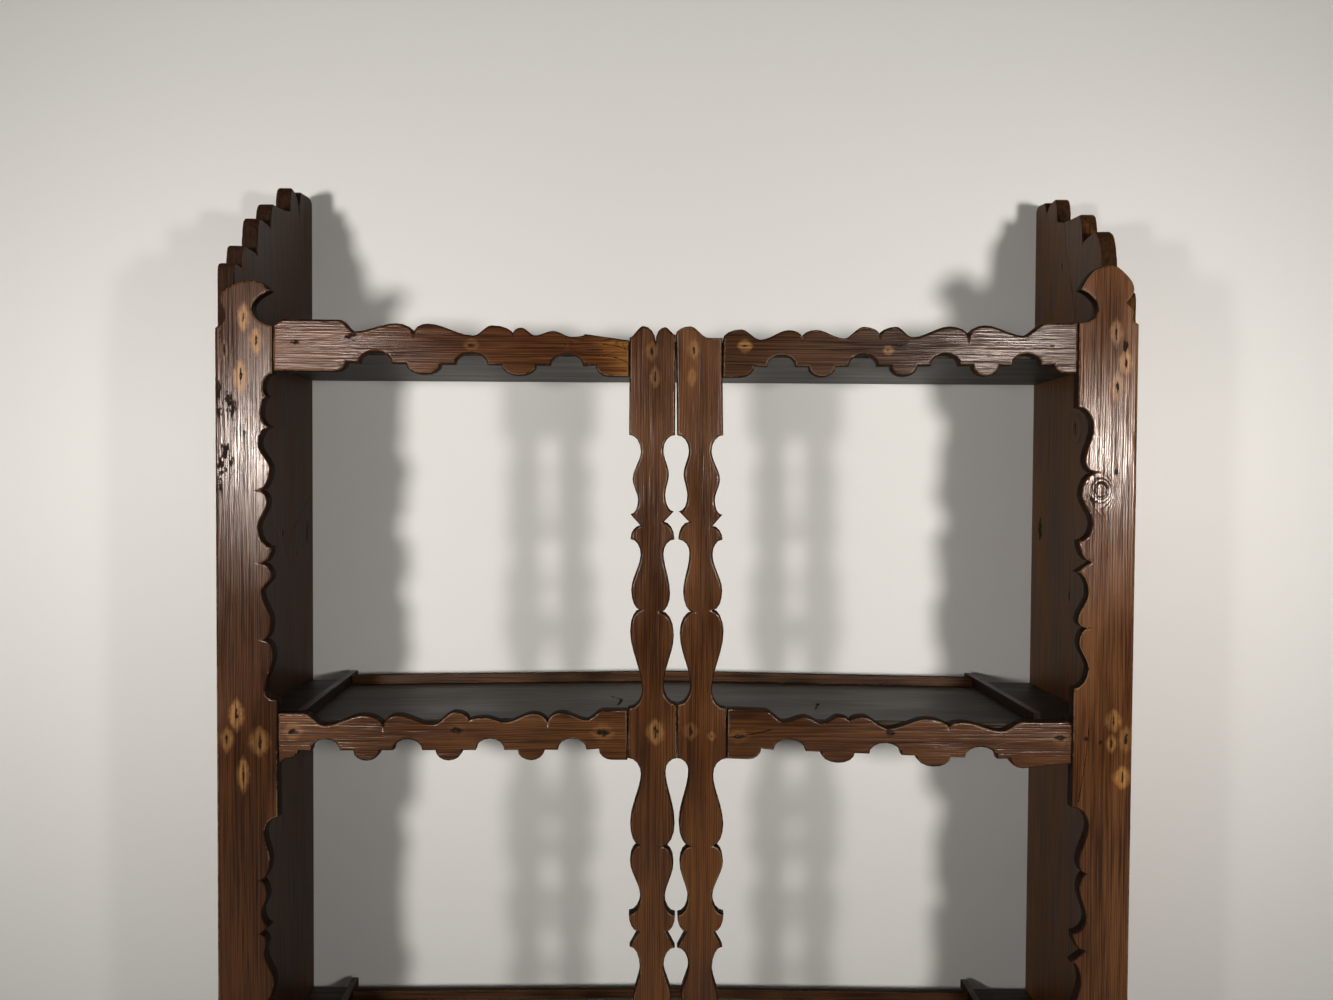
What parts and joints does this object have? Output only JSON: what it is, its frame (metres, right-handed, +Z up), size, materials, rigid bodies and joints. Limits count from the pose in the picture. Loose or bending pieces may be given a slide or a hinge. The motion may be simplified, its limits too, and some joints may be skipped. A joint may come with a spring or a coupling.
{
  "type": "plate cabinet",
  "caption": "Open rustic plate cabinet in dark stained pine: fretwork rails, flat balusters and hooked stiles on the front, raked stepped sides, shelves with low strips that hold plates.",
  "frame": {"origin": "on the floor, at the middle of the cabinet's width and depth", "axes": "+X to the right seen from the front, the front faces -Y, +Z up"},
  "size_m": [0.966, 0.353, 1.636],
  "materials": {
    "face_pine": "stained and waxed, semi-gloss, worn edges",
    "side_pine": "dark stained, satin",
    "shelf_pine": "dull dark grey-brown, worn",
    "strip_pine": "dark stained, satin"
  },
  "bodies": {
    "root": {"side_left": "side_pine", "side_right": "side_pine", "stile_left": "face_pine", "stile_right": "face_pine", "baluster_left": "face_pine", "baluster_right": "face_pine", "bottom_shelf_front": "shelf_pine", "bottom_shelf_back": "shelf_pine", "bottom_strip_left": "strip_pine", "bottom_strip_right": "strip_pine", "bottom_strip_back": "strip_pine", "bottom_rail_left": "face_pine", "bottom_rail_right": "face_pine", "lower_shelf_front": "shelf_pine", "lower_shelf_back": "shelf_pine", "lower_strip_left": "strip_pine", "lower_strip_right": "strip_pine", "lower_strip_back": "strip_pine", "lower_rail_left": "face_pine", "lower_rail_right": "face_pine", "upper_shelf_front": "shelf_pine", "upper_shelf_back": "shelf_pine", "upper_strip_left": "strip_pine", "upper_strip_right": "strip_pine", "upper_strip_back": "strip_pine", "upper_rail_left": "face_pine", "upper_rail_right": "face_pine", "top_shelf_front": "shelf_pine", "top_shelf_back": "shelf_pine", "top_strip_left": "strip_pine", "top_strip_right": "strip_pine", "top_strip_back": "strip_pine", "top_rail_left": "face_pine", "top_rail_right": "face_pine"}
  },
  "joints": []
}
